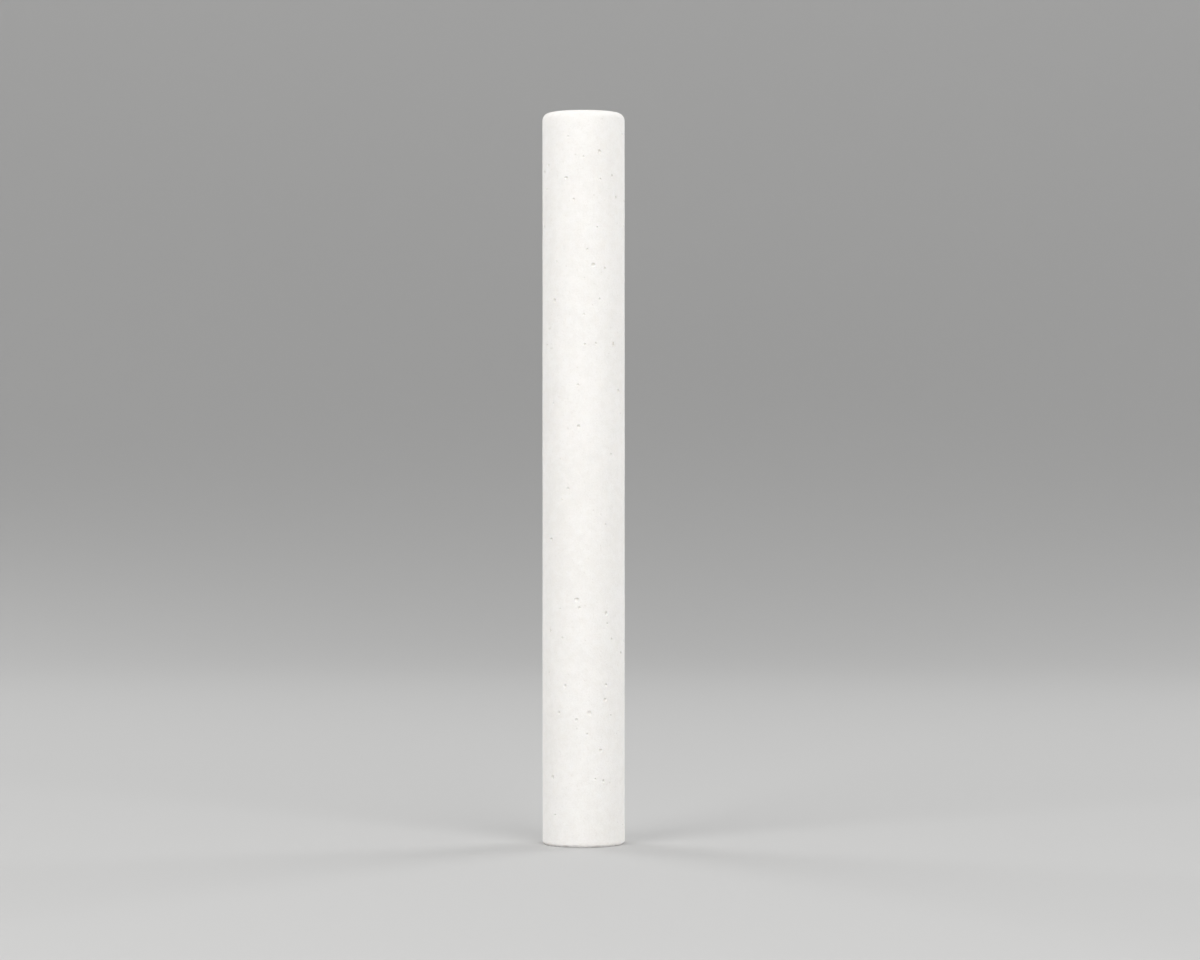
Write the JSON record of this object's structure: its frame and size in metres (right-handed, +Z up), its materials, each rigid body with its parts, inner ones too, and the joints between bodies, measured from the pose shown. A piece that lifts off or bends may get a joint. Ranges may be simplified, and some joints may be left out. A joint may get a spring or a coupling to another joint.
{
  "type": "chalk stick",
  "caption": "Round white blackboard chalk stick with a rounded head and a flat struck foot that it stands on.",
  "frame": {"origin": "centre of the flat struck foot that the stick stands on", "axes": "+Z up the axis of the stick, from the struck foot to the rounded head; the stick is round, so X and Y are alike, and +Y points away from the viewer"},
  "size_m": [0.009, 0.009, 0.08],
  "materials": {
    "chalk": "dead matt, fine powdery cast gypsum"
  },
  "bodies": {
    "root": {"chalk_stick": "chalk"}
  },
  "joints": []
}
